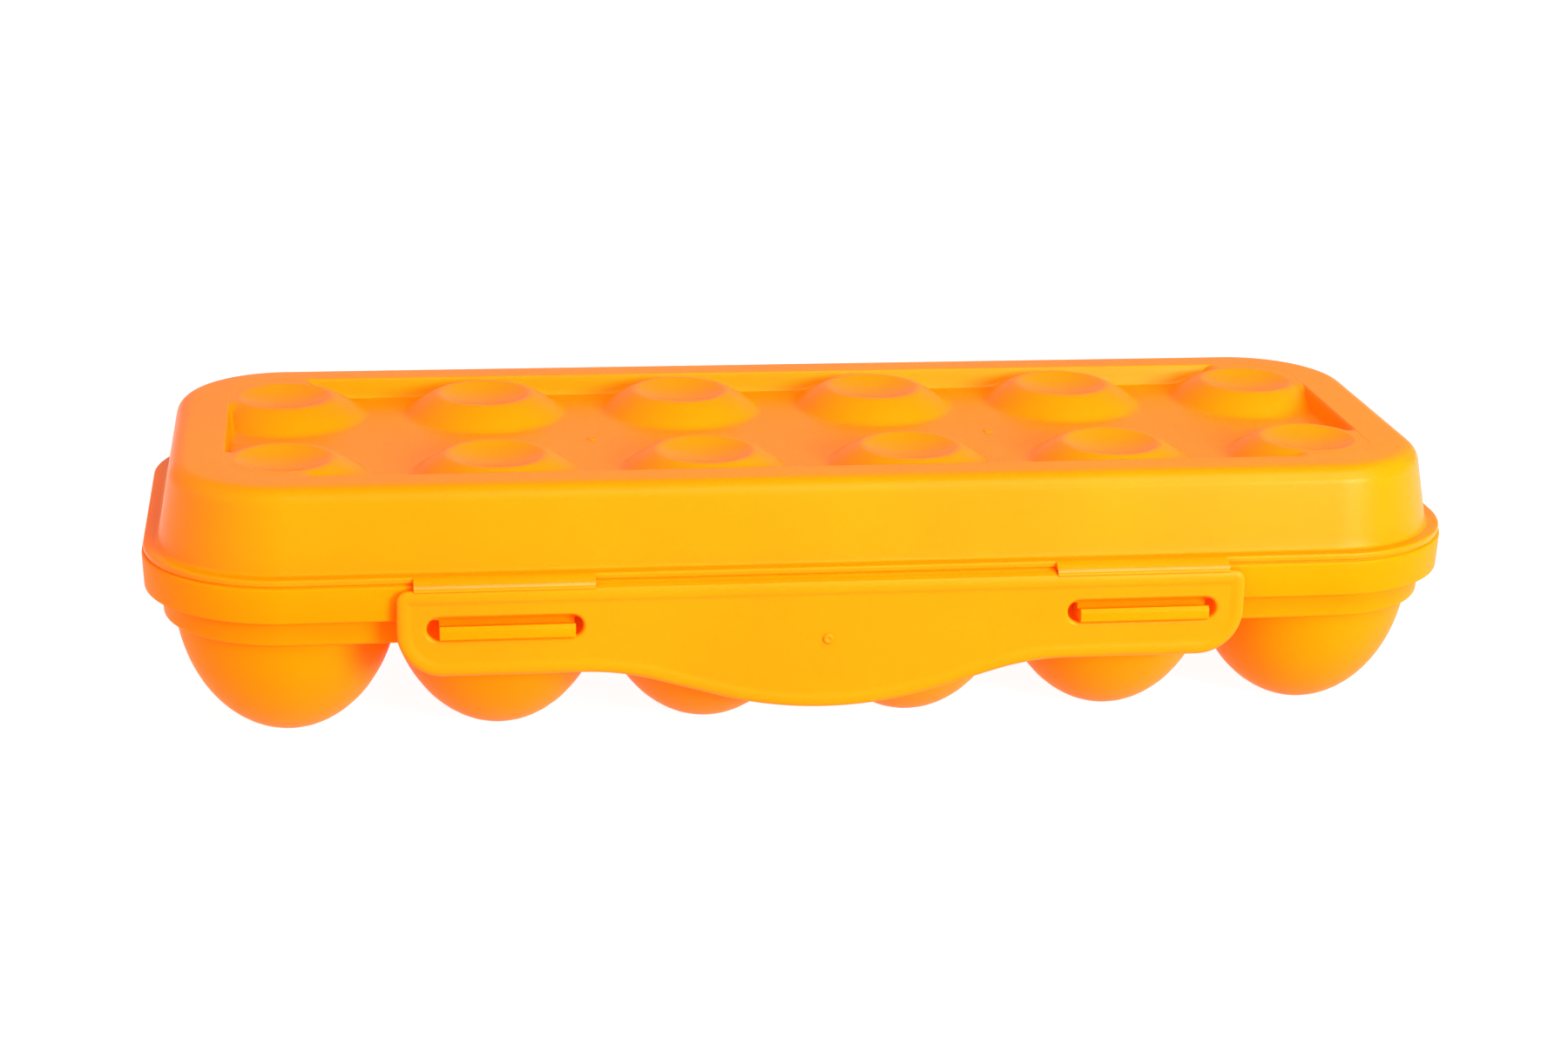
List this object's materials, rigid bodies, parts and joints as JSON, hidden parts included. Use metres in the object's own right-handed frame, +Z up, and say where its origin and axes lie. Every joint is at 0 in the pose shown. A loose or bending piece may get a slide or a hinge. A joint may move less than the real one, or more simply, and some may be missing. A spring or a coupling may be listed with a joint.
{
  "type": "egg keeper",
  "caption": "Long rounded egg keeper with moulded cups in two rows, a hinged flip lid with dished bosses and a snap-down front flap.",
  "frame": {"origin": "on the plane the cups stand on, under the middle of the object's bounding box", "axes": "+X along the rows of cups (to the right seen from the flap), -Y towards the flap, +Z up through the lid"},
  "size_m": [0.3108, 0.126, 0.0655],
  "materials": {
    "tray": "injection-moulded orange polypropylene, satin",
    "lid": "injection-moulded orange polypropylene, satin",
    "film": "thin bent polypropylene web, slightly paler and glossier where it folds",
    "flap": "injection-moulded orange polypropylene, satin"
  },
  "bodies": {
    "base": {"base_tray": "tray"},
    "lid": {"lid_shell": "lid", "film_hinge_left": "film", "film_hinge_right": "film"},
    "flap": {"front_flap": "flap"}
  },
  "joints": [
    {"name": "lid_hinge", "type": "hinge", "parent": "base", "child": "lid", "pos_m": [0, 0.0609, 0.0449], "axis": [-1, 0, 0], "range_deg": [0, 180]},
    {"name": "flap_hinge", "type": "hinge", "parent": "lid", "child": "flap", "pos_m": [0, -0.0616, 0.04475], "axis": [-1, 0, 0], "range_deg": [0, 130]}
  ]
}
